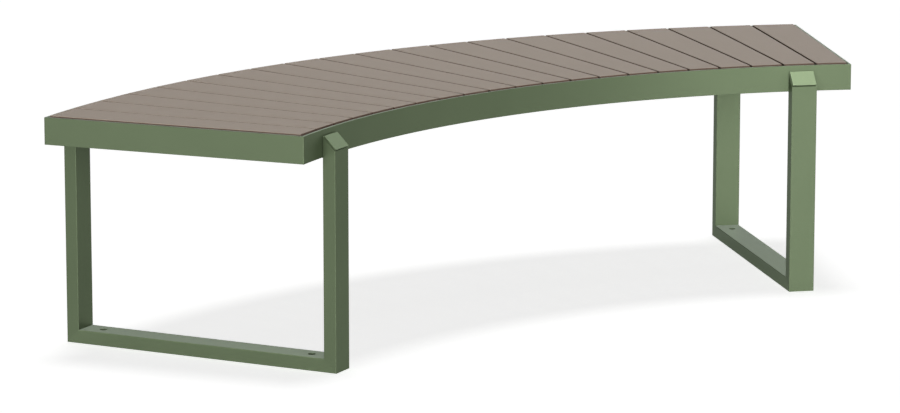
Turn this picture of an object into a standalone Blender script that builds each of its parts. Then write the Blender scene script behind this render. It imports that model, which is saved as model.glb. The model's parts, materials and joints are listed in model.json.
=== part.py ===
"""Curved garden bench: a ring-sector seat of wedge slats in a welded steel rim, on two leg frames of rectangular tube.

The seat is a 60 degree piece of a ring. The sitter can use either side. "Inner" is the concave side, which faces -Y,
and "outer" the convex side. "Left" is -X. The origin is the middle of the bench's footprint, on the ground.
"""

import math

import bmesh
import bpy
from mathutils import Matrix, Vector

# Seat plan
ARC_ANGLE = math.radians(60)
INNER_RADIUS = 1.300
SEAT_DEPTH = 0.512
FACETS_PER_SLAT = 4

# Rim of flat bar around the slats
RIM_TOP_HEIGHT = 0.440
RIM_HEIGHT = 0.050
RIM_THICKNESS = 0.005
RIM_EDGE_RADIUS = 0.0008
END_BAND_THICKNESS = 0.005

# Slats of wood composite, tapered to the ring
SLAT_COUNT = 21
SLAT_THICKNESS = 0.021
SLAT_PROUD_OF_RIM = 0.0025
SLAT_GAP = 0.005
SLAT_TO_RIM_GAP = 0.0035
SLAT_TO_END_BAND_GAP = 0.0025
SLAT_EDGE_RADIUS = 0.0015

# Ledges welded inside the rim, and the bearer under the middle of the slats
LEDGE_WIDTH = 0.034
LEDGE_THICKNESS = 0.004
BEARER_WIDTH = 0.040
SCREW_HOLE_DIAMETER = 0.005
SCREW_SPACING = 0.038
SCREW_TO_RIM = 0.019
SCREW_HOLE_SIDES = 8

# Cross rails of square tube under the ledges and the bearer
CROSS_RAIL_SIZE = 0.025
CROSS_RAIL_SHARES = {"left": -1, "middle_left": -1 / 3, "middle_right": 1 / 3, "right": 1}

# Leg frames of rectangular tube, each in a plane through the ring's centre
LEG_ANGLE = math.radians(25.6)
TUBE_WIDTH = 0.050
TUBE_DEPTH = 0.025
TUBE_WALL = 0.002
TUBE_CORNER_RADIUS = 0.002
TUBE_CORNER_STEPS = 3
POST_TOP_BELOW_RIM_TOP = 0.012
POST_TOP_SLOPE = math.radians(45)
CAP_THICKNESS = 0.003
CAP_INSET = 0.0012
CAP_EDGE_RADIUS = 0.0005
ANCHOR_HOLE_DIAMETER = 0.014
ANCHOR_HOLE_TO_POST = 0.038
ANCHOR_HOLE_SIDES = 24

# Fit and cutting
TOUCH_GAP = 0.0003
CUT_OVERRUN = 0.010
MERGE_DISTANCE = 0.000001
SMOOTH_BELOW = math.radians(30)

# Places that follow from the sizes above
OUTER_RADIUS = INNER_RADIUS + SEAT_DEPTH
MIDDLE_RADIUS = INNER_RADIUS + SEAT_DEPTH / 2
HALF_ARC = ARC_ANGLE / 2
RING_CENTRE_Y = -(OUTER_RADIUS + INNER_RADIUS * math.cos(HALF_ARC)) / 2
ARC_FACETS = SLAT_COUNT * FACETS_PER_SLAT
FACET_DROP = math.cos(ARC_ANGLE / ARC_FACETS / 2)

RIM_BOTTOM_HEIGHT = RIM_TOP_HEIGHT - RIM_HEIGHT
SEAT_TOP_HEIGHT = RIM_TOP_HEIGHT + SLAT_PROUD_OF_RIM
SLAT_UNDERSIDE = SEAT_TOP_HEIGHT - SLAT_THICKNESS
LEDGE_TOP = SLAT_UNDERSIDE - TOUCH_GAP
LEDGE_UNDERSIDE = LEDGE_TOP - LEDGE_THICKNESS
CROSS_RAIL_TOP = LEDGE_UNDERSIDE - TOUCH_GAP

# The clear space between the two curved bands, and the slats' ends inside it
CLEAR_INNER_RADIUS = INNER_RADIUS + RIM_THICKNESS
CLEAR_OUTER_RADIUS = OUTER_RADIUS - RIM_THICKNESS
SLAT_INNER_RADIUS = CLEAR_INNER_RADIUS + SLAT_TO_RIM_GAP
SLAT_OUTER_RADIUS = CLEAR_OUTER_RADIUS - SLAT_TO_RIM_GAP

# All slats are equally wide on the seat's middle line
END_CLEARANCE = END_BAND_THICKNESS + SLAT_TO_END_BAND_GAP
SLAT_LINE_LENGTH = ARC_ANGLE * MIDDLE_RADIUS - 2 * END_CLEARANCE + SLAT_GAP
SLAT_PITCH = SLAT_LINE_LENGTH / SLAT_COUNT / MIDDLE_RADIUS
MIDDLE_SLAT = (SLAT_COUNT - 1) / 2


def flat_in_hollow(radius, width):
    """How far from the ring's centre a flat end of this width comes to rest against a face that is hollow towards it."""
    return math.sqrt((radius * FACET_DROP) ** 2 - (width / 2) ** 2) - TOUCH_GAP


# The posts stand outside the rim, and the foot rail runs from one post's outer face to the other's
INNER_POST_BACK = flat_in_hollow(INNER_RADIUS, TUBE_WIDTH)
INNER_POST_FRONT = INNER_POST_BACK - TUBE_DEPTH
OUTER_POST_BACK = OUTER_RADIUS + TOUCH_GAP
OUTER_POST_FRONT = OUTER_POST_BACK + TUBE_DEPTH
POST_HIGH_EDGE = RIM_TOP_HEIGHT - POST_TOP_BELOW_RIM_TOP
POST_LOW_EDGE = POST_HIGH_EDGE - TUBE_DEPTH * math.tan(POST_TOP_SLOPE)


def linear(red, green, blue):
    """A colour read off a screen, in the linear values that a material takes."""
    full = 255
    return tuple((value / full) ** 2.2 for value in (red, green, blue)) + (1.0,)


def finish(name, colour, roughness, metallic):
    material = bpy.data.materials.new(name)
    material.use_nodes = True
    shader = material.node_tree.nodes["Principled BSDF"]
    shader.inputs["Base Color"].default_value = colour
    shader.inputs["Roughness"].default_value = roughness
    shader.inputs["Metallic"].default_value = metallic
    material.diffuse_color = colour
    return material


def start_scene():
    """Clear the scene and make the two collections, one for the pieces and one for what cuts them."""
    for old in list(bpy.data.objects):
        bpy.data.objects.remove(old)
    found = []
    for name in ("curved_garden_bench", "cutters"):
        collection = bpy.data.collections.new(name)
        bpy.context.scene.collection.children.link(collection)
        found.append(collection)
    return found


PIECES, CUTTERS = start_scene()
GREEN_COAT = finish("sage_green_powder_coat", linear(108, 125, 93), 0.5, 0.0)
COMPOSITE = finish("taupe_wood_composite", linear(151, 140, 131), 0.75, 0.0)


def empty(name, location=(0, 0, 0), turn=0, parent=None):
    """A frame of reference: the ring's centre, or a plane through it at an angle towards +X from straight ahead."""
    frame = bpy.data.objects.new(name, None)
    frame.location = location
    frame.rotation_euler = (0, 0, -turn)
    frame.parent = parent
    PIECES.objects.link(frame)
    return frame


def mesh_from(name, bm):
    """The finished mesh, with its faces outwards and its flats crisp."""
    bmesh.ops.recalc_face_normals(bm, faces=bm.faces)
    mesh = bpy.data.meshes.new(name)
    bm.to_mesh(mesh)
    bm.free()
    mesh.shade_smooth()
    mesh.set_sharp_from_angle(angle=SMOOTH_BELOW)
    return mesh


def piece(name, mesh, parent, material, location=(0, 0, 0), rotation=(0, 0, 0)):
    """One sub-part of the bench."""
    made = bpy.data.objects.new(name, mesh)
    made.parent = parent
    made.location = location
    made.rotation_euler = rotation
    if not mesh.materials:
        mesh.materials.append(material)
    PIECES.objects.link(made)
    return made


def round_edges(made, radius, segments=1):
    bevel = made.modifiers.new("rounded_edges", "BEVEL")
    bevel.width = radius
    bevel.segments = segments
    bevel.limit_method = "ANGLE"
    bevel.angle_limit = SMOOTH_BELOW
    bevel.use_clamp_overlap = True


def cut(made, mesh, location=(0, 0, 0), rotation=None):
    """Take a cutter's shape out of a piece. The cutter is placed in the piece's own frame and goes with it."""
    cutter = bpy.data.objects.new(f"{made.name}_{mesh.name}", mesh)
    cutter.parent = made
    cutter.location = location
    if rotation:
        cutter.rotation_mode = "QUATERNION"
        cutter.rotation_quaternion = rotation
    cutter.display_type = "WIRE"
    cutter.hide_render = True
    CUTTERS.objects.link(cutter)
    boolean = made.modifiers.new(mesh.name, "BOOLEAN")
    boolean.operation = "DIFFERENCE"
    boolean.object = cutter
    boolean.solver = "EXACT"


def box_mesh(name, size, centre=(0, 0, 0)):
    bm = bmesh.new()
    bmesh.ops.create_cube(bm, size=1, matrix=Matrix.Translation(centre) @ Matrix.Diagonal((*size, 1)))
    return mesh_from(name, bm)


def cylinders_mesh(name, places, diameter, height, sides):
    """Upright cylinders standing at these places, all in one mesh."""
    bm = bmesh.new()
    for place in places:
        bmesh.ops.create_cone(
            bm, cap_ends=True, segments=sides, radius1=diameter / 2, radius2=diameter / 2, depth=height,
            matrix=Matrix.Translation(place),
        )
    return mesh_from(name, bm)


def extruded_mesh(name, outlines, low, high):
    """A flat outline, with further outlines as holes in it, raised from one height to another."""
    curve = bpy.data.curves.new(name, "CURVE")
    curve.dimensions = "2D"
    curve.fill_mode = "BOTH"
    curve.extrude = (high - low) / 2
    for outline in outlines:
        spline = curve.splines.new("POLY")
        spline.points.add(len(outline) - 1)
        for point, (x, y) in zip(spline.points, outline):
            point.co = (x, y, 0, 1)
        spline.use_cyclic_u = True
    source = bpy.data.objects.new(name, curve)
    CUTTERS.objects.link(source)
    evaluated = source.evaluated_get(bpy.context.evaluated_depsgraph_get())
    raised = bpy.data.meshes.new_from_object(evaluated)
    bpy.data.objects.remove(source)
    bm = bmesh.new()
    bm.from_mesh(raised)
    bpy.data.meshes.remove(raised)
    bmesh.ops.remove_doubles(bm, verts=bm.verts, dist=MERGE_DISTANCE)
    bmesh.ops.translate(bm, verts=bm.verts, vec=(0, 0, (low + high) / 2))
    return mesh_from(name, bm)


def curved_bar_mesh(name, inner, outer, low, high, half_angle):
    """A rectangular section between two radii and two heights, swept round the ring's centre."""
    bm = bmesh.new()
    section = [(0, inner, low), (0, outer, low), (0, outer, high), (0, inner, high)]
    face = bm.faces.new([bm.verts.new(point) for point in section])
    start = Matrix.Rotation(-half_angle, 3, "Z")
    bmesh.ops.rotate(bm, verts=bm.verts, cent=(0, 0, 0), matrix=start)
    bmesh.ops.spin(
        bm, geom=[*face.verts, *face.edges, face], cent=(0, 0, 0), axis=(0, 0, 1), angle=2 * half_angle,
        steps=ARC_FACETS,
    )
    return mesh_from(name, bm)


def rounded_rectangle(width, depth, radius):
    """The outline of a drawn tube's outside, with its corners as arcs."""
    points = []
    for quarter in range(4):
        side_x = width / 2 - radius if quarter in (0, 3) else radius - width / 2
        side_y = depth / 2 - radius if quarter in (0, 1) else radius - depth / 2
        for step in range(TUBE_CORNER_STEPS + 1):
            angle = (quarter + step / TUBE_CORNER_STEPS) * math.pi / 2
            points.append((side_x + radius * math.cos(angle), side_y + radius * math.sin(angle)))
    return points


def rectangle(width, depth):
    return [(x * width / 2, y * depth / 2) for x, y in ((1, 1), (-1, 1), (-1, -1), (1, -1))]


def tube_mesh(name, width, depth, start, end):
    """Rectangular tube along Z, open at both ends."""
    outside = rounded_rectangle(width, depth, TUBE_CORNER_RADIUS)
    bore = rectangle(width - 2 * TUBE_WALL, depth - 2 * TUBE_WALL)
    return extruded_mesh(name, [outside, bore], start, end)


def saw_cut(made, name, point, towards, kerf=0):
    """Saw off what lies beyond a point in a direction. The kerf draws the cut back from the point."""
    block = 2 * (TUBE_WIDTH + TUBE_DEPTH) + CUT_OVERRUN
    direction = Vector(towards).normalized()
    centre = Vector(point) + direction * (block / 2 - kerf)
    cut(made, box_mesh(name, (block, block, block)), centre, direction.to_track_quat("Z", "Y"))


# Rim
def make_rim(centre):
    """Two curved bands, and a straight band across each end between them."""
    bands = (
        ("inner_rim", INNER_RADIUS, CLEAR_INNER_RADIUS),
        ("outer_rim", CLEAR_OUTER_RADIUS, OUTER_RADIUS),
    )
    for name, inner, outer in bands:
        mesh = curved_bar_mesh(name, inner, outer, RIM_BOTTOM_HEIGHT, RIM_TOP_HEIGHT, HALF_ARC)
        round_edges(piece(name, mesh, centre, GREEN_COAT), RIM_EDGE_RADIUS)
    start = CLEAR_INNER_RADIUS + TOUCH_GAP
    end = flat_in_hollow(CLEAR_OUTER_RADIUS, 2 * END_BAND_THICKNESS)
    middle = (0, (start + end) / 2, RIM_TOP_HEIGHT - RIM_HEIGHT / 2)
    mesh = box_mesh("end_band", (END_BAND_THICKNESS, end - start, RIM_HEIGHT), middle)
    for name, side in (("left_end_band", -1), ("right_end_band", 1)):
        plane = empty(f"{name}_plane", turn=side * HALF_ARC, parent=centre)
        inwards = (-side * END_BAND_THICKNESS / 2, 0, 0)
        round_edges(piece(name, mesh, plane, GREEN_COAT, inwards), RIM_EDGE_RADIUS)


# Slats
def side_point(radius, angle, clearance):
    """A corner of a slat: on the line at this angle, drawn back from it by the clearance towards the slat's middle."""
    along = Vector((math.sin(angle), math.cos(angle)))
    across = Vector((math.cos(angle), -math.sin(angle)))
    return along * radius - across * math.copysign(clearance, angle)


def slat_mesh(name, left, right):
    """A tapered slat about the straight-ahead line. Each side is an angle and the clearance kept from its line."""
    outline = [
        side_point(SLAT_INNER_RADIUS, *left),
        side_point(SLAT_INNER_RADIUS, *right),
        side_point(SLAT_OUTER_RADIUS, *right),
        side_point(SLAT_OUTER_RADIUS, *left),
    ]
    return extruded_mesh(name, [outline], SLAT_UNDERSIDE, SEAT_TOP_HEIGHT)


def make_slats(centre):
    """Equal slats, but for the outer side of the first and the last, which runs along its end band."""
    to_neighbour = (SLAT_PITCH / 2, SLAT_GAP / 2)
    to_end = (HALF_ARC - MIDDLE_SLAT * SLAT_PITCH, END_CLEARANCE)
    plain = slat_mesh("slat", (-to_neighbour[0], to_neighbour[1]), to_neighbour)
    first = slat_mesh("first_slat", (-to_end[0], to_end[1]), to_neighbour)
    last = slat_mesh("last_slat", (-to_neighbour[0], to_neighbour[1]), to_end)
    for number in range(SLAT_COUNT):
        mesh = {0: first, SLAT_COUNT - 1: last}.get(number, plain)
        turn = (number - MIDDLE_SLAT) * SLAT_PITCH
        slat = piece(f"slat_{number + 1:02d}", mesh, centre, COMPOSITE, rotation=(0, 0, -turn))
        round_edges(slat, SLAT_EDGE_RADIUS)


# Ledges and bearer
def screw_places(radius):
    """Two screws a slat, on either side of its middle line."""
    height = (LEDGE_TOP + LEDGE_UNDERSIDE) / 2
    places = []
    for number in range(SLAT_COUNT):
        turn = Matrix.Rotation(-(number - MIDDLE_SLAT) * SLAT_PITCH, 3, "Z")
        places += [turn @ Vector((side * SCREW_SPACING / 2, radius, height)) for side in (-1, 1)]
    return places


def half_angle_inside_end_bands(radius):
    """The half angle at which a bar whose smallest radius this is stops just short of the end bands."""
    return HALF_ARC - math.asin((END_BAND_THICKNESS + TOUCH_GAP) / radius)


def make_ledges(centre):
    """Laser-cut strips that carry the slats: one inside each curved band, with screw holes, and one in the middle."""
    height = LEDGE_THICKNESS + 2 * CUT_OVERRUN
    inner_start = CLEAR_INNER_RADIUS + TOUCH_GAP
    outer_end = CLEAR_OUTER_RADIUS * FACET_DROP - TOUCH_GAP
    strips = (
        ("inner_ledge", inner_start, inner_start + LEDGE_WIDTH, CLEAR_INNER_RADIUS + SCREW_TO_RIM),
        ("outer_ledge", outer_end - LEDGE_WIDTH, outer_end, CLEAR_OUTER_RADIUS - SCREW_TO_RIM),
        ("middle_bearer", MIDDLE_RADIUS - BEARER_WIDTH / 2, MIDDLE_RADIUS + BEARER_WIDTH / 2, None),
    )
    for name, inner, outer, screw_radius in strips:
        reach = half_angle_inside_end_bands(inner)
        mesh = curved_bar_mesh(name, inner, outer, LEDGE_UNDERSIDE, LEDGE_TOP, reach)
        strip = piece(name, mesh, centre, GREEN_COAT)
        if screw_radius:
            places = screw_places(screw_radius)
            cut(strip, cylinders_mesh("screw_holes", places, SCREW_HOLE_DIAMETER, height, SCREW_HOLE_SIDES))


# Cross rails
def make_cross_rails(centre):
    """Square tubes from band to band, one in line with each leg frame and two between."""
    start = CLEAR_INNER_RADIUS + TOUCH_GAP
    end = flat_in_hollow(CLEAR_OUTER_RADIUS, CROSS_RAIL_SIZE)
    mesh = tube_mesh("cross_rail", CROSS_RAIL_SIZE, CROSS_RAIL_SIZE, start, end)
    along_radius = (-math.pi / 2, 0, 0)
    for place, share in CROSS_RAIL_SHARES.items():
        plane = empty(f"{place}_cross_rail_plane", turn=share * LEG_ANGLE, parent=centre)
        height = (0, 0, CROSS_RAIL_TOP - CROSS_RAIL_SIZE / 2)
        piece(f"{place}_cross_rail", mesh, plane, GREEN_COAT, height, along_radius)


# Leg frames
def make_post(name, plane, middle_radius, faces_out):
    """A post with its foot mitred to the foot rail and its top sawn to a slope that falls away from the seat."""
    turn = math.pi if faces_out else 0
    mesh = tube_mesh(f"{name}_tube", TUBE_WIDTH, TUBE_DEPTH, 0, POST_HIGH_EDGE)
    post = piece(name, mesh, plane, GREEN_COAT, (0, middle_radius, 0), (0, 0, turn))
    front = -TUBE_DEPTH / 2
    saw_cut(post, "foot_mitre", (0, front, 0), (0, 1, -1), TOUCH_GAP / 2)
    slope = (0, -math.sin(POST_TOP_SLOPE), math.cos(POST_TOP_SLOPE))
    saw_cut(post, "top_slope", (0, front, POST_LOW_EDGE), slope)


def make_cap(name, plane, middle_radius, faces_out):
    """A plate welded over the sloped end of a post, a little smaller than the tube."""
    turn = math.pi if faces_out else 0
    length = TUBE_DEPTH / math.cos(POST_TOP_SLOPE) - 2 * CAP_INSET
    mesh = box_mesh(f"{name}_plate", (TUBE_WIDTH - 2 * CAP_INSET, length, CAP_THICKNESS))
    rise = TOUCH_GAP + CAP_THICKNESS / 2
    outwards = -1 if faces_out else 1
    middle = Vector((0, middle_radius, (POST_LOW_EDGE + POST_HIGH_EDGE) / 2))
    middle += rise * Vector((0, -outwards * math.sin(POST_TOP_SLOPE), math.cos(POST_TOP_SLOPE)))
    cap = piece(name, mesh, plane, GREEN_COAT, middle, (POST_TOP_SLOPE, 0, turn))
    round_edges(cap, CAP_EDGE_RADIUS)


def make_foot_rail(name, plane):
    """The rail on the ground between the posts, mitred at both ends, with a hole for a ground anchor near each post."""
    mesh = tube_mesh(f"{name}_tube", TUBE_WIDTH, TUBE_DEPTH, INNER_POST_FRONT, OUTER_POST_FRONT)
    along_radius = (-math.pi / 2, 0, 0)
    rail = piece(name, mesh, plane, GREEN_COAT, (0, 0, TUBE_DEPTH / 2), along_radius)
    # In the rail's own frame Z runs outwards along the rail and Y points down to the ground.
    ground = TUBE_DEPTH / 2
    saw_cut(rail, "inner_mitre", (0, ground, INNER_POST_FRONT), (0, -1, -1), TOUCH_GAP / 2)
    saw_cut(rail, "outer_mitre", (0, ground, OUTER_POST_FRONT), (0, -1, 1), TOUCH_GAP / 2)
    height = TUBE_DEPTH + 2 * CUT_OVERRUN
    drill = cylinders_mesh("anchor_hole", [(0, 0, 0)], ANCHOR_HOLE_DIAMETER, height, ANCHOR_HOLE_SIDES)
    across = Vector((0, 1, 0)).to_track_quat("Z", "Y")
    for place in (INNER_POST_BACK + ANCHOR_HOLE_TO_POST, OUTER_POST_BACK - ANCHOR_HOLE_TO_POST):
        cut(rail, drill, (0, 0, place), across)


def make_leg_frames(centre):
    posts = (
        ("inner", (INNER_POST_FRONT + INNER_POST_BACK) / 2, False),
        ("outer", (OUTER_POST_FRONT + OUTER_POST_BACK) / 2, True),
    )
    for side, sign in (("left", -1), ("right", 1)):
        plane = empty(f"{side}_leg_plane", turn=sign * LEG_ANGLE, parent=centre)
        make_foot_rail(f"{side}_foot_rail", plane)
        for place, middle_radius, faces_out in posts:
            make_post(f"{side}_{place}_post", plane, middle_radius, faces_out)
            make_cap(f"{side}_{place}_post_cap", plane, middle_radius, faces_out)


RING_CENTRE = empty("ring_centre", (0, RING_CENTRE_Y, 0))
make_rim(RING_CENTRE)
make_slats(RING_CENTRE)
make_ledges(RING_CENTRE)
make_cross_rails(RING_CENTRE)
make_leg_frames(RING_CENTRE)
bpy.context.view_layer.update()
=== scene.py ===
import json
import math

import bmesh
import bpy
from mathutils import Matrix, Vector

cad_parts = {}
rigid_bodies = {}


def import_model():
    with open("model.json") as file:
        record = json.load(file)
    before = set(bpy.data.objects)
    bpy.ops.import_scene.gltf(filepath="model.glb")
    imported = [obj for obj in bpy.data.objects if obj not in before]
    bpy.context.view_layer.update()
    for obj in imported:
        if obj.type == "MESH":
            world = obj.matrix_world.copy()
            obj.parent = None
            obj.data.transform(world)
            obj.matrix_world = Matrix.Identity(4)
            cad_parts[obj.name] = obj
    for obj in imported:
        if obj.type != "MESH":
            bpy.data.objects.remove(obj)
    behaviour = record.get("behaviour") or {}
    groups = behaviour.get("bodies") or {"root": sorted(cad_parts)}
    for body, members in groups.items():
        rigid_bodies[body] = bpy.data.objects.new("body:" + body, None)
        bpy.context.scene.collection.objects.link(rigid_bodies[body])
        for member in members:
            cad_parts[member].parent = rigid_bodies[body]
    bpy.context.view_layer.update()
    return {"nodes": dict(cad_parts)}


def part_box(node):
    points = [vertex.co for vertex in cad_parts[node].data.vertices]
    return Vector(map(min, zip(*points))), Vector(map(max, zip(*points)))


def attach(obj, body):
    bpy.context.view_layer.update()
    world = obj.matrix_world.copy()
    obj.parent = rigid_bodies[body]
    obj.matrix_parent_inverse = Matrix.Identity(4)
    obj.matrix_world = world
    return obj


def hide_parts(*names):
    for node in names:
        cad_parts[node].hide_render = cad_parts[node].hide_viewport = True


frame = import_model()
bpy.ops.object.select_all(action="DESELECT")


# Foot rails
# Each leg frame stands on a length of drawn 50 x 25 mm steel tube, mitred at both ends to take the posts.
# It is drilled near each post for a ground anchor, welded, ground flush and powder-coated with the frame.
INNER_RADIUS = 1.300
OUTER_RADIUS = 1.812
LEG_ANGLE = math.radians(25.6)
LEG_SIDES = {"left": -LEG_ANGLE, "right": LEG_ANGLE}
TUBE_WIDTH = 0.050
TUBE_DEPTH = 0.025
TUBE_WALL = 0.002
TUBE_CORNER = 0.001
FIT_UP_GAP = 0.0003
ANCHOR_HOLE_DIAMETER = 0.014
ANCHOR_HOLE_TO_POST = 0.038
ANCHOR_HOLE_EDGE = 0.0004
ANCHOR_HOLE_SIDES = 48
ALONG_X, ALONG_Y, ALONG_Z = 0, 1, 2
NEARLY_ONE = 0.99
TOUCHING = 0.0001
SMOOTH_BELOW = math.radians(32)

# The seat is a piece of a ring. Pieces are modelled straight ahead of its centre, then turned into place.
ring_centre = Vector((0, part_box("outer_rim")[1].y - OUTER_RADIUS, 0))
inner_post_back = ring_centre.y + math.sqrt(INNER_RADIUS**2 - (TUBE_WIDTH / 2) ** 2) - FIT_UP_GAP
inner_post_front = inner_post_back - TUBE_DEPTH
outer_post_back = ring_centre.y + OUTER_RADIUS + FIT_UP_GAP
outer_post_front = outer_post_back + TUBE_DEPTH


def block(name, low, high):
    """A plain block between two corners, ready to be shaped."""
    bpy.ops.object.select_all(action="DESELECT")
    middle = [(start + end) / 2 for start, end in zip(low, high)]
    size = [end - start for start, end in zip(low, high)]
    bpy.ops.mesh.primitive_cube_add(size=1, location=middle, scale=size)
    bpy.ops.object.transform_apply(location=True, rotation=True, scale=True)
    bpy.context.object.name = name
    return bpy.context.object


def pick(piece, kind, fits):
    """Go into edit mode with only those vertices, edges or faces selected that fit a rule."""
    bpy.ops.object.mode_set(mode="EDIT")
    bpy.ops.mesh.select_mode(type=kind)
    bpy.ops.mesh.select_all(action="DESELECT")
    mesh = bmesh.from_edit_mesh(piece.data)
    for element in {"VERT": mesh.verts, "EDGE": mesh.edges, "FACE": mesh.faces}[kind]:
        if fits(element):
            element.select_set(True)
    bmesh.update_edit_mesh(piece.data)


def runs(axis):
    """A rule for edges that run along an axis."""
    return lambda edge: abs((edge.verts[1].co - edge.verts[0].co).normalized()[axis]) > NEARLY_ONE


def faces(axis):
    """A rule for faces that look along an axis, either way."""
    return lambda face: abs(face.normal[axis]) > NEARLY_ONE


def saw(piece, point, beyond, hollow=False):
    """Saw off what lies past a point in a direction. Of a hollow piece, only the wall is closed again."""
    bpy.ops.object.mode_set(mode="EDIT")
    bpy.ops.mesh.select_all(action="SELECT")
    bpy.ops.mesh.bisect(plane_co=point, plane_no=beyond, use_fill=not hollow, clear_outer=True)
    if hollow:
        pick(piece, "EDGE", lambda edge: len(edge.link_faces) == 1)
        bpy.ops.mesh.bridge_edge_loops()
        bpy.ops.mesh.select_all(action="SELECT")
        bpy.ops.mesh.normals_make_consistent(inside=False)
    bpy.ops.object.mode_set(mode="OBJECT")


def tube(name, low, high, along, cuts=()):
    """Drawn rectangular tube with rounded corners, sawn off at each cut, a point and a direction."""
    piece = block(name, low, high)
    pick(piece, "FACE", faces(along))
    bpy.ops.mesh.inset(thickness=TUBE_WALL)
    bpy.ops.mesh.bridge_edge_loops()
    bpy.ops.object.mode_set(mode="OBJECT")
    for point, beyond in cuts:
        saw(piece, point, beyond, hollow=True)
    pick(piece, "EDGE", lambda edge: runs(along)(edge) and edge.is_convex)
    bpy.ops.mesh.bevel(offset=TUBE_CORNER, segments=5, affect="EDGES")
    bpy.ops.object.mode_set(mode="OBJECT")
    return piece


def select(*pieces):
    """Select these pieces and nothing else, and make the first one active."""
    bpy.ops.object.select_all(action="DESELECT")
    for piece in pieces:
        piece.select_set(True)
    bpy.context.view_layer.objects.active = pieces[0]


def apply_modifier(piece, modifier):
    """Make what a modifier does a part of the piece's own mesh."""
    select(piece)
    bpy.ops.object.modifier_apply(modifier=modifier.name)


def drill(piece, place, diameter, depth):
    """Drill straight down through a piece, and take the burr off the upper edge of the hole."""
    bpy.ops.object.select_all(action="DESELECT")
    bpy.ops.mesh.primitive_cylinder_add(
        vertices=ANCHOR_HOLE_SIDES, radius=diameter / 2, depth=depth, location=place
    )
    bit = bpy.context.object
    hole = piece.modifiers.new("hole", "BOOLEAN")
    hole.operation = "DIFFERENCE"
    hole.object = bit
    apply_modifier(piece, hole)
    bpy.data.objects.remove(bit)
    top = max(vertex.co.z for vertex in piece.data.vertices)
    hole_centre = Vector(place).xy

    def on_upper_edge(vertex):
        from_centre = (vertex.co.xy - hole_centre).length
        return from_centre < diameter / 2 + TOUCHING and vertex.co.z > top - TOUCHING

    pick(piece, "EDGE", lambda edge: all(on_upper_edge(vertex) for vertex in edge.verts))
    bpy.ops.mesh.bevel(offset=ANCHOR_HOLE_EDGE, segments=2, affect="EDGES")
    bpy.ops.object.mode_set(mode="OBJECT")


def smooth(piece):
    """Shade the rounded edges smooth and keep the flats flat."""
    select(piece)
    bpy.ops.object.shade_smooth_by_angle(angle=SMOOTH_BELOW)
    flats = piece.modifiers.new("flats", "WEIGHTED_NORMAL")
    flats.keep_sharp = True
    apply_modifier(piece, flats)


def turned_copy(piece, name, angle):
    """A copy with its own mesh, turned about the ring's centre from straight ahead towards +X."""
    select(piece)
    bpy.ops.object.duplicate()
    bpy.context.object.name = name
    bpy.context.object.data.name = name
    bpy.ops.transform.rotate(value=angle, orient_axis="Z", center_override=ring_centre)
    bpy.ops.object.transform_apply(location=True, rotation=True, scale=True)
    return bpy.context.object


def new_material(name):
    """A new material and its shader."""
    material = bpy.data.materials.new(name)
    material.use_nodes = True
    return material, material.node_tree.nodes["Principled BSDF"]


def plug(material, node, inputs):
    """Give each of these sockets of a node its value, or link it to another node's output."""
    for socket, value in inputs.items():
        if isinstance(value, bpy.types.NodeSocket):
            material.node_tree.links.new(value, node.inputs[socket])
        else:
            node.inputs[socket].default_value = value


def add_node(material, kind, inputs, **settings):
    """A new node of a material. Its outputs are given back."""
    node = material.node_tree.nodes.new(kind)
    for setting, value in settings.items():
        setattr(node, setting, value)
    plug(material, node, inputs)
    return node.outputs


def noise(material, place, scale, detail):
    """Soft spots of no order, as a number from 0 to 1. The scale is the number of spots in a metre."""
    return add_node(
        material, "ShaderNodeTexNoise", {"Vector": place, "Scale": scale, "Detail": detail}
    )["Fac"]


def mix(material, share, first, second, kind="RGBA"):
    """A mix of two colours, or of two numbers, with this share of the second."""
    return add_node(
        material, "ShaderNodeMix", {"Factor": share, "A": first, "B": second}, data_type=kind
    )["Result"]


def span(material, pattern, low, high):
    """A pattern's numbers, spread from low to high."""
    return add_node(
        material, "ShaderNodeMapRange", {"Value": pattern, "To Min": low, "To Max": high}
    )["Result"]


def relief(material, pattern, strength, depth):
    """A pattern as bumps and hollows of this depth in the surface."""
    return add_node(
        material, "ShaderNodeBump", {"Height": pattern, "Strength": strength, "Distance": depth}
    )["Normal"]


def colour(red, green, blue):
    """A colour as a screen shows it, 0 to 255, in the linear values that a material takes."""
    full, offset, power = 255, 0.055, 2.4
    return tuple(((part / full + offset) / (1 + offset)) ** power for part in (red, green, blue)) + (1.0,)


def make_powder_coat():
    """Sage green polyester powder, satin, with the orange peel and slight clouding of a sprayed coat."""
    material, shader = new_material("sage_green_powder_coat")
    place = add_node(material, "ShaderNodeTexCoord", {})["Object"]
    clouds = noise(material, place, scale=9.0, detail=3.0)
    grains = noise(material, place, scale=900.0, detail=2.0)
    peel = noise(material, place, scale=330.0, detail=3.0)
    shade = mix(material, clouds, colour(76, 87, 66), colour(84, 95, 73))
    speckle = mix(material, grains, colour(74, 85, 64), colour(86, 98, 75))
    speckle_share = 0.4
    plug(material, shader, {
        "Base Color": mix(material, speckle_share, shade, speckle),
        "Metallic": 0.65,
        "Roughness": span(material, grains, low=0.35, high=0.45),
        "Specular IOR Level": 0.25,
        "Specular Tint": colour(171, 179, 171),
        "Normal": relief(material, peel, strength=0.25, depth=0.0002),
    })
    return material


powder_coat = make_powder_coat()


def coat(piece):
    """Powder-coat a piece all over."""
    piece.data.materials.clear()
    piece.data.materials.append(powder_coat)


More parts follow.
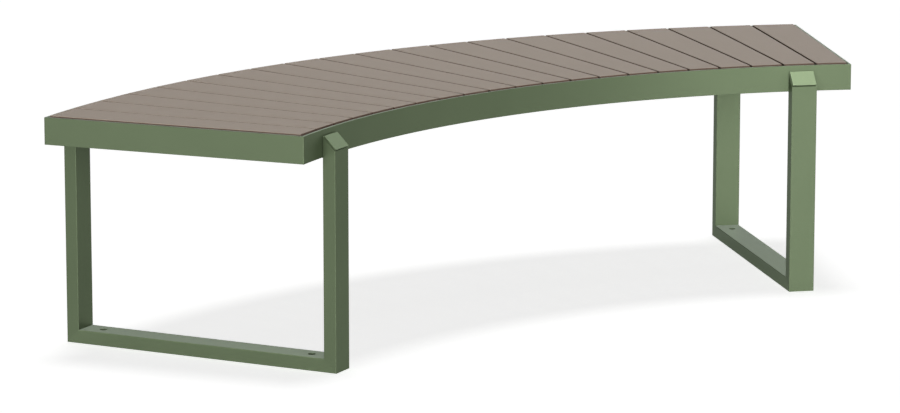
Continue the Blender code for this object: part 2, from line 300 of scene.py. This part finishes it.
mitres = ((0, inner_post_front, 0), (0, -1, 1)), ((0, outer_post_front, 0), (0, 1, 1))
rail = tube(
    "foot_rail",
    (-TUBE_WIDTH / 2, inner_post_front, 0),
    (TUBE_WIDTH / 2, outer_post_front, TUBE_DEPTH),
    ALONG_Y,
    mitres,
)
for hole_place in (inner_post_back + ANCHOR_HOLE_TO_POST, outer_post_back - ANCHOR_HOLE_TO_POST):
    drill(rail, (0, hole_place, TUBE_DEPTH / 2), ANCHOR_HOLE_DIAMETER, 2 * TUBE_DEPTH)
smooth(rail)
for side, angle in LEG_SIDES.items():
    side_rail = turned_copy(rail, f"{side}_foot_rail_tube", angle)
    coat(side_rail)
    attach(side_rail, "root")
    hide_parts(f"{side}_foot_rail")
bpy.data.objects.remove(rail)


# Posts
# Two uprights of the same tube stand on each foot rail and are welded to the outside of the rim. Each is
# mitred at the foot, and sawn off at 45 degrees just below the rim's top, sloping away from the seat.
POST_TOP_BELOW_RIM_TOP = 0.012
POST_TOP_SLOPE = math.radians(45)

rim_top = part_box("inner_rim")[1].z
post_high_edge = rim_top - POST_TOP_BELOW_RIM_TOP
post_low_edge = post_high_edge - TUBE_DEPTH * math.tan(POST_TOP_SLOPE)


def make_post(name, back, front):
    """A post whose back is against the rim and whose front faces away from the seat."""
    low = (-TUBE_WIDTH / 2, min(back, front), 0)
    high = (TUBE_WIDTH / 2, max(back, front), post_high_edge)
    away = math.copysign(1, front - back)
    mitre = (0, front, 0), (0, -away, -1)
    slope = (0, front, post_low_edge), (0, away * math.sin(POST_TOP_SLOPE), math.cos(POST_TOP_SLOPE))
    post = tube(name, low, high, ALONG_Z, (mitre, slope))
    smooth(post)
    return post


post_places = {"inner": (inner_post_back, inner_post_front), "outer": (outer_post_back, outer_post_front)}
for place, (back, front) in post_places.items():
    post = make_post("post", back, front)
    for side, angle in LEG_SIDES.items():
        side_post = turned_copy(post, f"{side}_{place}_post_tube", angle)
        coat(side_post)
        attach(side_post, "root")
        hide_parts(f"{side}_{place}_post")
    bpy.data.objects.remove(post)


# Post caps
# A 3 mm plate closes the sloped top of each post. It is a little smaller than the tube, so that the weld
# sits on the tube's edge, and its corners are eased before coating.
CAP_THICKNESS = 0.003
CAP_INSET = 0.0012
CAP_EDGE = 0.0003


def make_cap(name, back, front):
    """A plate that lies on the sloped top of the post between its back and its front."""
    away = math.copysign(1, front - back)
    length = TUBE_DEPTH / math.cos(POST_TOP_SLOPE) - 2 * CAP_INSET
    rise = FIT_UP_GAP + CAP_THICKNESS / 2
    middle = Vector((0, (back + front) / 2, (post_low_edge + post_high_edge) / 2))
    middle += rise * Vector((0, away * math.sin(POST_TOP_SLOPE), math.cos(POST_TOP_SLOPE)))
    half = Vector((TUBE_WIDTH / 2 - CAP_INSET, length / 2, CAP_THICKNESS / 2))
    cap = block(name, middle - half, middle + half)
    pick(cap, "EDGE", lambda edge: True)
    bpy.ops.mesh.bevel(offset=CAP_EDGE, segments=3, affect="EDGES")
    bpy.ops.mesh.select_all(action="SELECT")
    bpy.ops.transform.rotate(value=away * POST_TOP_SLOPE, orient_axis="X", center_override=middle)
    bpy.ops.object.mode_set(mode="OBJECT")
    smooth(cap)
    return cap


for place, (back, front) in post_places.items():
    cap = make_cap("cap", back, front)
    for side, angle in LEG_SIDES.items():
        side_cap = turned_copy(cap, f"{side}_{place}_post_cap_plate", angle)
        coat(side_cap)
        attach(side_cap, "root")
        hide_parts(f"{side}_{place}_post_cap")
    bpy.data.objects.remove(cap)


# Curved rims
# Two bands of 50 x 5 mm flat bar, rolled on edge to the ring's two radii, hold the seat together.
# Their long edges keep the small radius of rolled bar, and their ends are cut square to the curve.
RIM_HEIGHT = 0.050
RIM_THICKNESS = 0.005
RIM_EDGE = 0.0006
RIM_EDGE_STEPS = 4
RIM_CORNER = 0.0011
HALF_ARC = math.radians(30)
ROLLING_STEPS = 240
SAME_PLACE = 0.000001

rim_bottom = rim_top - RIM_HEIGHT


def roll_bar(name, inner, outer):
    """A bar of rectangular section, rolled about the ring's centre between two radii."""
    bpy.ops.object.select_all(action="DESELECT")
    middle = (0, ring_centre.y + (inner + outer) / 2, (rim_bottom + rim_top) / 2)
    bpy.ops.mesh.primitive_plane_add(size=1, location=middle, rotation=(0, math.pi / 2, 0))
    bpy.ops.transform.resize(value=(1, outer - inner, rim_top - rim_bottom))
    bpy.ops.object.transform_apply(location=True, rotation=True, scale=True)
    bar = bpy.context.object
    bar.name = name
    bpy.ops.object.mode_set(mode="EDIT")
    bpy.ops.mesh.select_all(action="SELECT")
    bpy.ops.transform.rotate(value=-HALF_ARC, orient_axis="Z", center_override=ring_centre)
    bpy.ops.mesh.spin(steps=ROLLING_STEPS, angle=2 * HALF_ARC, center=ring_centre, axis=(0, 0, 1))
    bpy.ops.mesh.select_all(action="SELECT")
    bpy.ops.mesh.remove_doubles(threshold=SAME_PLACE)
    bpy.ops.mesh.normals_make_consistent(inside=False)
    bpy.ops.object.mode_set(mode="OBJECT")
    return bar


def sharp(edge):
    """Whether an edge is a corner of the bar, and not one of the steps of its curve."""
    return len(edge.link_faces) == 2 and edge.calc_face_angle() > SMOOTH_BELOW


def end_corner(outside):
    """A rule for the upright corners at a bar's ends, on its outside, where no end band meets them."""

    def fits(edge):
        middle = (edge.verts[0].co + edge.verts[1].co) / 2 - ring_centre
        from_outside = abs(middle.xy.length - outside)
        return runs(ALONG_Z)(edge) and sharp(edge) and from_outside < RIM_THICKNESS / 2

    return fits


rims = {
    "inner_rim": (INNER_RADIUS, INNER_RADIUS + RIM_THICKNESS, INNER_RADIUS),
    "outer_rim": (OUTER_RADIUS - RIM_THICKNESS, OUTER_RADIUS, OUTER_RADIUS),
}
for node, (inner, outer, outside) in rims.items():
    rim = roll_bar(f"{node}_bar", inner, outer)
    pick(rim, "EDGE", end_corner(outside))
    bpy.ops.mesh.bevel(offset=RIM_CORNER, segments=RIM_EDGE_STEPS, affect="EDGES")
    pick(rim, "EDGE", lambda edge: sharp(edge) and not runs(ALONG_Z)(edge))
    bpy.ops.mesh.bevel(offset=RIM_EDGE, segments=RIM_EDGE_STEPS, affect="EDGES")
    bpy.ops.object.mode_set(mode="OBJECT")
    smooth(rim)
    coat(rim)
    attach(rim, "root")
    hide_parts(node)


# End bands
# A straight length of the same flat bar closes each end of the seat, welded between the two rims.
# Its outer face lies flush with the rims' cut ends, and the seam there is ground flat.
inner_rim_face = ring_centre.y + INNER_RADIUS + RIM_THICKNESS
outer_rim_face = ring_centre.y + OUTER_RADIUS - RIM_THICKNESS

for side, sign in {"left": -1, "right": 1}.items():
    towards_seat = -sign * RIM_THICKNESS
    low = (min(0, towards_seat), inner_rim_face, rim_bottom)
    high = (max(0, towards_seat), outer_rim_face, rim_top)
    band = block("end_band", low, high)
    pick(band, "EDGE", runs(ALONG_Y))
    bpy.ops.mesh.bevel(offset=RIM_EDGE, segments=RIM_EDGE_STEPS, affect="EDGES")
    bpy.ops.object.mode_set(mode="OBJECT")
    smooth(band)
    end_band = turned_copy(band, f"{side}_end_band_bar", sign * HALF_ARC)
    coat(end_band)
    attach(end_band, "root")
    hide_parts(f"{side}_end_band")
    bpy.data.objects.remove(band)


# Ledges and bearer
# Strips of 4 mm plate, laser-cut to the curve, carry the slats: one welded inside each rim, with a hole
# for every screw, and one under the middle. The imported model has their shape, so they only get the coat.
for node in ("inner_ledge", "outer_ledge", "middle_bearer"):
    coat(frame["nodes"][node])


# Cross rails
# Four square tubes run from rim to rim under the ledges, two of them in line with the leg frames.
# They stiffen the seat and carry the bearer, and are welded at both ends.
CROSS_RAIL_SIZE = 0.025
CROSS_RAIL_SHARES = {"left": -1, "middle_left": -1 / 3, "middle_right": 1 / 3, "right": 1}

half_rail = CROSS_RAIL_SIZE / 2
ledge_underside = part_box("inner_ledge")[0].z
rail_top = ledge_underside - FIT_UP_GAP
rail_bottom = rail_top - CROSS_RAIL_SIZE
cross_rail = tube(
    "cross_rail", (-half_rail, inner_rim_face, rail_bottom), (half_rail, outer_rim_face, rail_top), ALONG_Y
)
smooth(cross_rail)
for place, share in CROSS_RAIL_SHARES.items():
    placed_rail = turned_copy(cross_rail, f"{place}_cross_rail_tube", share * LEG_ANGLE)
    coat(placed_rail)
    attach(placed_rail, "root")
    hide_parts(f"{place}_cross_rail")
bpy.data.objects.remove(cross_rail)


# Welds
# The joints in sight are ground smooth before coating. Small fillet welds stay where nobody looks: behind
# each post under the rim's lower edge, round the cross rails' ends, and as stitches along the ledges.
WELD_RADIUS = 0.001
WELD_SIDES = 8
RIPPLE_LENGTH = 0.0022
FEWEST_RIPPLES = 3
WAIST_SHARE = 0.86
TIP_SHARE = 0.5
STITCH_LENGTH = 0.020
STITCH_STEP = math.radians(5.7)
STITCHES = range(-4, 5)


def make_bead(name, length):
    """A weld bead along Z about the origin, with the ripples of the weld pool and tapered ends."""
    bpy.ops.object.select_all(action="DESELECT")
    bpy.ops.mesh.primitive_cylinder_add(vertices=WELD_SIDES, radius=WELD_RADIUS, depth=length)
    bead = bpy.context.object
    bead.name = name
    ripples = max(FEWEST_RIPPLES, round(length / RIPPLE_LENGTH))
    pick(bead, "EDGE", runs(ALONG_Z))
    bpy.ops.mesh.subdivide(number_cuts=2 * ripples - 1)
    step = length / (2 * ripples)
    pick(bead, "VERT", lambda vertex: round((vertex.co.z + length / 2) / step) % 2 == 0)
    bpy.ops.transform.resize(value=(WAIST_SHARE, WAIST_SHARE, 1), center_override=(0, 0, 0))
    pick(bead, "VERT", lambda vertex: abs(vertex.co.z) > length / 2 - step / 2)
    bpy.ops.transform.resize(value=(TIP_SHARE, TIP_SHARE, 1), center_override=(0, 0, 0))
    bpy.ops.object.mode_set(mode="OBJECT")
    bpy.ops.object.shade_smooth()
    return bead


bead_patterns = {}


def lay_bead(start, end, angle):
    """Lay a bead between two points straight ahead, then turn it. Beads of one length share a pattern."""
    start, end = Vector(start), Vector(end)
    length = round((end - start).length, ndigits=4)
    if length not in bead_patterns:
        bead_patterns[length] = make_bead("bead", length)
    bead = bead_patterns[length]
    bead.rotation_euler = (end - start).to_track_quat("Z", "Y").to_euler()
    bead.location = (start + end) / 2
    return turned_copy(bead, "laid_bead", angle)


def join(name, pieces):
    """Make one object of several."""
    select(*pieces)
    bpy.ops.object.join()
    pieces[0].name = name
    return pieces[0]


post_beads = []
half_width = TUBE_WIDTH / 2
for angle in LEG_SIDES.values():
    for back in (inner_post_back, outer_post_back):
        post_beads.append(lay_bead((-half_width, back, rim_bottom), (half_width, back, rim_bottom), angle))

rail_beads = []
for share in CROSS_RAIL_SHARES.values():
    angle = share * LEG_ANGLE
    for end in (inner_rim_face, outer_rim_face):
        for x in (-half_rail, half_rail):
            rail_beads.append(lay_bead((x, end, rail_bottom), (x, end, rail_top), angle))
        rail_beads.append(lay_bead((-half_rail, end, rail_bottom), (half_rail, end, rail_bottom), angle))

ledge_beads = []
half_stitch = STITCH_LENGTH / 2
for corner in (inner_rim_face, outer_rim_face):
    for number in STITCHES:
        start = (-half_stitch, corner, ledge_underside)
        ledge_beads.append(lay_bead(start, (half_stitch, corner, ledge_underside), number * STITCH_STEP))

all_beads = {"post_welds": post_beads, "cross_rail_welds": rail_beads, "ledge_welds": ledge_beads}
for name, beads in all_beads.items():
    welds = join(name, beads)
    coat(welds)
    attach(welds, "root")
for pattern in bead_patterns.values():
    bpy.data.objects.remove(pattern)


# Slats
# Each of the 21 slats is sawn to a taper from 21 mm brushed wood composite. Its long edges are eased, its
# ends are sawn square, and it is screwed to the ledges from below. The gaps between slats keep their width.
SLAT_COUNT = 21
SLAT_GAP = 0.005
SLAT_TO_RIM_GAP = 0.0035
SLAT_TO_END_BAND_GAP = 0.0025
SLAT_EDGE = 0.0009
SLAT_END_EDGE = 0.0003
RAW_BOARD_WIDTH = 0.120
GRAIN_STRETCH = (1.0, 0.05, 1.0)
GRAIN_STEP = 3.0
UPRIGHT_BELOW = 0.2

slat_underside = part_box("slat_11")[0].z
slat_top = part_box("slat_11")[1].z
middle_radius = (INNER_RADIUS + OUTER_RADIUS) / 2
end_clearance = RIM_THICKNESS + SLAT_TO_END_BAND_GAP
slat_pitch = (2 * HALF_ARC * middle_radius - 2 * end_clearance + SLAT_GAP) / SLAT_COUNT / middle_radius


def make_composite(name, streak, fleck, cloud, roughness):
    """Wood fibre and resin, with fine streaks along the board, pale and dark fibres, and hardly any gloss.

    Each colour is a pair, dark and pale, and the roughness is a range.
    """
    material, shader = new_material(name)
    place = add_node(material, "ShaderNodeAttribute", {}, attribute_name="board_place")["Vector"]
    along = add_node(material, "ShaderNodeMapping", {"Vector": place, "Scale": GRAIN_STRETCH})["Vector"]
    streaks = noise(material, along, scale=420.0, detail=4.0)
    fibres = noise(material, place, scale=620.0, detail=2.0)
    clouds = noise(material, place, scale=7.0, detail=2.0)
    fleck_share, cloud_share, fibre_relief_share = 0.5, 0.35, 0.4
    fine = mix(material, fleck_share, mix(material, streaks, *streak), mix(material, fibres, *fleck))
    grain = mix(material, fibre_relief_share, streaks, fibres, kind="FLOAT")
    plug(material, shader, {
        "Base Color": mix(material, cloud_share, fine, mix(material, clouds, *cloud)),
        "Roughness": span(material, fibres, *roughness),
        "Specular IOR Level": 0.3,
        "Normal": relief(material, grain, strength=0.5, depth=0.0003),
    })
    return material


brushed_face = make_composite(
    "brushed_taupe_composite",
    streak=(colour(111, 101, 90), colour(129, 118, 107)),
    fleck=(colour(105, 94, 84), colour(135, 124, 113)),
    cloud=(colour(115, 104, 93), colour(125, 114, 103)),
    roughness=(0.6, 0.8),
)
# The upright sides and ends of the slats get a far darker copy of the composite. This darkness is painted
# shade: it stands for the shade in the gaps between the slats and in the slots at their ends.
painted_shade = make_composite(
    "sawn_edge_of_the_composite",
    streak=(colour(58, 43, 35), colour(74, 57, 48)),
    fleck=(colour(54, 39, 32), colour(78, 61, 52)),
    cloud=(colour(60, 45, 37), colour(71, 55, 46)),
    roughness=(0.75, 0.9),
)


def make_slat(name, left, right):
    """A slat, straight ahead. Each side is an angle at the ring's centre and a clearance from its line."""
    low = (-RAW_BOARD_WIDTH / 2, inner_rim_face + SLAT_TO_RIM_GAP, slat_underside)
    high = (RAW_BOARD_WIDTH / 2, outer_rim_face - SLAT_TO_RIM_GAP, slat_top)
    board = block(name, low, high)
    for side, (angle, clearance) in ((-1, left), (1, right)):
        outwards = side * Vector((math.cos(angle), -side * math.sin(angle), 0))
        saw(board, ring_centre - outwards * clearance, outwards)
    pick(board, "EDGE", lambda edge: not runs(ALONG_X)(edge) and not runs(ALONG_Z)(edge))
    bpy.ops.mesh.bevel(offset=SLAT_EDGE, segments=3, affect="EDGES")
    pick(board, "EDGE", lambda edge: any(faces(ALONG_Y)(face) for face in edge.link_faces))
    bpy.ops.mesh.bevel(offset=SLAT_END_EDGE, segments=2, affect="EDGES")
    bpy.ops.object.mode_set(mode="OBJECT")
    smooth(board)
    board.data.materials.append(brushed_face)
    board.data.materials.append(painted_shade)
    # Faces that stand upright take the darker copy, the painted shade. The tops and undersides keep the
    # composite's own colour.
    for face in board.data.polygons:
        face.material_index = int(abs(face.normal.z) < UPRIGHT_BELOW)
    return board


def mark_grain(board, pattern, number):
    """Keep each point's place on its own board for the grain, and give each board another piece of it."""
    marks = board.data.attributes.new("board_place", "FLOAT_VECTOR", "POINT")
    for mark, vertex in zip(marks.data, pattern.data.vertices):
        mark.vector = vertex.co + Vector((0, number * GRAIN_STEP, 0))


def slat_angle(number):
    """How far a slat is turned from straight ahead. The first one, at the left end, has number 0."""
    return (number - (SLAT_COUNT - 1) / 2) * slat_pitch


to_neighbour = (slat_pitch / 2, SLAT_GAP / 2)
to_end = (HALF_ARC - slat_angle(SLAT_COUNT - 1), end_clearance)
plain = make_slat("slat", to_neighbour, to_neighbour)
first = make_slat("first_slat", to_end, to_neighbour)
last = make_slat("last_slat", to_neighbour, to_end)
for number in range(SLAT_COUNT):
    pattern = {0: first, SLAT_COUNT - 1: last}.get(number, plain)
    board = turned_copy(pattern, f"slat_{number + 1:02d}_board", slat_angle(number))
    mark_grain(board, pattern, number)
    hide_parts(f"slat_{number + 1:02d}")
    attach(board, "root")
for pattern in (plain, first, last):
    bpy.data.objects.remove(pattern)


# Screws
# Two pan-head screws at each end of every slat are driven up through the ledges from below. They are
# turned from stainless steel, which stays bare, with a round recess in the head.
SCREW_HEAD_DIAMETER = 0.0095
SCREW_HEAD_HEIGHT = 0.0028
SCREW_HEAD_ROUNDING = 0.6 * SCREW_HEAD_HEIGHT
SCREW_SHANK_DIAMETER = 0.0042
SCREW_LENGTH = 0.016
SCREW_SIDES = 12
RECESS_TO_FLAT_EDGE = 0.1 * SCREW_HEAD_DIAMETER
RECESS_DEPTH = 0.5 * SCREW_HEAD_HEIGHT
SCREW_SPACING = 0.038
SCREW_TO_RIM = 0.019


def make_steel():
    """Plain stainless steel, turned: bright, with fine marks left by the tool."""
    material, shader = new_material("plain_stainless_steel")
    place = add_node(material, "ShaderNodeTexCoord", {})["Object"]
    marks = noise(material, place, scale=1500.0, detail=3.0)
    plug(material, shader, {
        "Base Color": mix(material, marks, colour(188, 188, 184), colour(206, 206, 203)),
        "Metallic": 1.0,
        "Roughness": span(material, marks, low=0.25, high=0.4),
    })
    return material


def make_screw(name):
    """A screw with its head down, whose shank rises from height zero, where the head meets the ledge."""
    bpy.ops.object.select_all(action="DESELECT")
    bpy.ops.mesh.primitive_cylinder_add(
        vertices=SCREW_SIDES,
        radius=SCREW_HEAD_DIAMETER / 2,
        depth=SCREW_HEAD_HEIGHT,
        location=(0, 0, -SCREW_HEAD_HEIGHT / 2),
    )
    bpy.ops.object.transform_apply(location=True, rotation=True, scale=True)
    screw = bpy.context.object
    screw.name = name
    pick(screw, "EDGE", lambda edge: all(vertex.co.z < -SCREW_HEAD_HEIGHT / 2 for vertex in edge.verts))
    bpy.ops.mesh.bevel(offset=SCREW_HEAD_ROUNDING, segments=3, affect="EDGES")
    pick(screw, "FACE", lambda face: face.normal.z < -NEARLY_ONE)
    bpy.ops.mesh.inset(thickness=RECESS_TO_FLAT_EDGE)
    bpy.ops.mesh.extrude_region_move(TRANSFORM_OT_translate={"value": (0, 0, RECESS_DEPTH)})
    pick(screw, "FACE", lambda face: face.normal.z > NEARLY_ONE and face.calc_center_median().z > -TOUCHING)
    bpy.ops.mesh.inset(thickness=(SCREW_HEAD_DIAMETER - SCREW_SHANK_DIAMETER) / 2)
    bpy.ops.mesh.extrude_region_move(TRANSFORM_OT_translate={"value": (0, 0, SCREW_LENGTH)})
    bpy.ops.object.mode_set(mode="OBJECT")
    smooth(screw)
    return screw


screw = make_screw("screw")
screw.data.materials.append(make_steel())
screw_rows = {
    "inner_ledge_screws": inner_rim_face + SCREW_TO_RIM,
    "outer_ledge_screws": outer_rim_face - SCREW_TO_RIM,
}
for name, y in screw_rows.items():
    row = []
    for number in range(SLAT_COUNT):
        for x in (-SCREW_SPACING / 2, SCREW_SPACING / 2):
            screw.location = (x, y, ledge_underside)
            row.append(turned_copy(screw, "driven_screw", slat_angle(number)))
    screws = join(name, row)
    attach(screws, "root")
bpy.data.objects.remove(screw)


# Floor
# A plain white sweep with a low white backdrop round its edge. To the eye and in reflections it is white
# where the bench's soft shadow doesn't fall. To all other light it is pale paper, which throws it back up.
FLOOR_RADIUS = 30.0
FLOOR_SIDES = 64
BACKDROP_HEIGHT = 2.1
PAPER = (0.8, 0.8, 0.8, 1)


def larger(material, first, second):
    """The larger one of two numbers."""
    return add_node(material, "ShaderNodeMath", {0: first, 1: second}, operation="MAXIMUM")[0]


def make_white(name, glow, shade):
    """White to the eye and in reflections. A part of it glows, and the shade is lit and takes shadows."""
    material, paper = new_material(name)
    plug(material, paper, {"Base Color": PAPER, "Roughness": 1.0, "Specular IOR Level": 0.0})
    path = add_node(material, "ShaderNodeLightPath", {})
    eye_or_mirror = larger(material, path["Is Camera Ray"], path["Is Glossy Ray"])
    seen = larger(material, eye_or_mirror, path["Is Transmission Ray"])
    shaded = add_node(material, "ShaderNodeBsdfDiffuse", {"Color": (shade, shade, shade, 1)})[0]
    glowing = add_node(material, "ShaderNodeEmission", {"Strength": glow})[0]
    white = add_node(material, "ShaderNodeAddShader", {0: shaded, 1: glowing})[0]
    look = add_node(material, "ShaderNodeMixShader", {0: seen, 1: paper.outputs[0], 2: white})[0]
    plug(material, material.node_tree.nodes["Material Output"], {"Surface": look})
    return material


bpy.ops.object.select_all(action="DESELECT")
bpy.ops.mesh.primitive_circle_add(
    vertices=FLOOR_SIDES, radius=FLOOR_RADIUS, fill_type="NGON", location=(0, 0, 0)
)
floor = bpy.context.object
floor.name = "floor"
floor.data.materials.append(make_white("white_floor", glow=0.80, shade=0.92))

bpy.ops.object.select_all(action="DESELECT")
bpy.ops.mesh.primitive_cylinder_add(
    vertices=FLOOR_SIDES,
    radius=FLOOR_RADIUS,
    depth=BACKDROP_HEIGHT,
    end_fill_type="NOTHING",
    location=(0, 0, BACKDROP_HEIGHT / 2),
)
backdrop = bpy.context.object
backdrop.name = "backdrop"
backdrop.data.materials.append(make_white("white_backdrop", glow=1.0, shade=0.0))
backdrop.visible_shadow = False


# Light
# A white studio: an even soft surround, a broad lamp overhead that gives the shadow, and soft lamps all
# round that light the bench and leave the floor and the backdrop alone. The camera's side of the bench and
# the slats' tops get more than a plain level of light, and its back gets less, so colours don't render
# there as they are written.
SURROUND = 0.05
STAGE = ("floor", "backdrop")
FOOT_RAILS = ("foot_rail_tube",)
POSTS = ("post_tube", "cap_plate")
SLATS = ("board",)

world = bpy.data.worlds.new("white_surround")
bpy.context.scene.world = world
world.use_nodes = True
background = world.node_tree.nodes["Background"]
background.inputs["Color"].default_value = (1, 1, 1, 1)
background.inputs["Strength"].default_value = SURROUND


def pieces_for_lamps(name, endings, link_state):
    """A group for a lamp: only the pieces whose names have these endings, or all but those."""
    group = bpy.data.collections.new(name)
    for piece in bpy.data.objects:
        if piece.name.endswith(endings):
            group.objects.link(piece)
    for linked in group.collection_objects:
        linked.light_linking.link_state = link_state
    return group


def add_lamp(name, azimuth, elevation, strength, spread, lights=None, passes=None):
    """A soft lamp far away. Its azimuth is measured from -Y towards -X, and its spread is how wide it is.

    It lights everything or one group. The pieces that it passes throw no shadow in its light.
    """
    lamp = bpy.data.lights.new(name, "SUN")
    lamp.energy = strength
    lamp.angle = math.radians(spread)
    placed = bpy.data.objects.new(name, lamp)
    azimuth, elevation = math.radians(azimuth), math.radians(elevation)
    flat = math.cos(elevation)
    towards = Vector((-math.sin(azimuth) * flat, -math.cos(azimuth) * flat, math.sin(elevation)))
    placed.rotation_euler = towards.to_track_quat("Z", "Y").to_euler()
    bpy.context.scene.collection.objects.link(placed)
    placed.light_linking.receiver_collection = lights
    if passes:
        passed = pieces_for_lamps(f"passed_by_{name}", passes, "EXCLUDE")
        placed.light_linking.blocker_collection = passed


bench = pieces_for_lamps("bench", STAGE, "EXCLUDE")
seat_and_posts = pieces_for_lamps("seat_and_posts", STAGE + FOOT_RAILS, "EXCLUDE")
foot_rails = pieces_for_lamps("foot_rails", FOOT_RAILS, "INCLUDE")

add_lamp("overhead_lamp", azimuth=217, elevation=84, strength=0.62, spread=14)
add_lamp("high_lamp", azimuth=335, elevation=72, strength=1.74, spread=20, lights=bench)
add_lamp(
    "front_lamp", azimuth=3, elevation=9, strength=2.8, spread=30, lights=seat_and_posts, passes=POSTS
)
add_lamp(
    "fill_lamp", azimuth=33, elevation=9, strength=1.7, spread=30, lights=seat_and_posts, passes=POSTS
)
add_lamp("left_lamp", azimuth=64, elevation=8, strength=2.55, spread=18, lights=seat_and_posts)
add_lamp("foot_lamp", azimuth=46, elevation=20, strength=11.2, spread=120, lights=foot_rails)
add_lamp("back_lamp", azimuth=250, elevation=22, strength=1.02, spread=30, lights=bench)
add_lamp(
    "glancing_lamp", azimuth=217, elevation=14, strength=0.30, spread=20, lights=bench, passes=POSTS + SLATS
)


# Camera
# The photograph is taken from the concave side, 37 degrees round to the left and 11 degrees above, from
# 8 m away with a long lens.
CAMERA_PLACE = (-4.8890, -6.2944, 1.7534)
CAMERA_YAW = math.radians(37.47)
CAMERA_PITCH = math.radians(11.14)
FOCAL_LENGTH_PIXELS = 4239.64
IMAGE_WIDTH = 900
SENSOR_WIDTH = 36.0

camera_data = bpy.data.cameras.new("camera")
camera_data.sensor_width = SENSOR_WIDTH
camera_data.lens = FOCAL_LENGTH_PIXELS / IMAGE_WIDTH * SENSOR_WIDTH
camera = bpy.data.objects.new("camera", camera_data)
camera.location = CAMERA_PLACE
camera.rotation_euler = (math.pi / 2 - CAMERA_PITCH, 0, -CAMERA_YAW)
bpy.context.scene.collection.objects.link(camera)
bpy.context.scene.camera = camera
bpy.context.scene.view_settings.view_transform = "Standard"
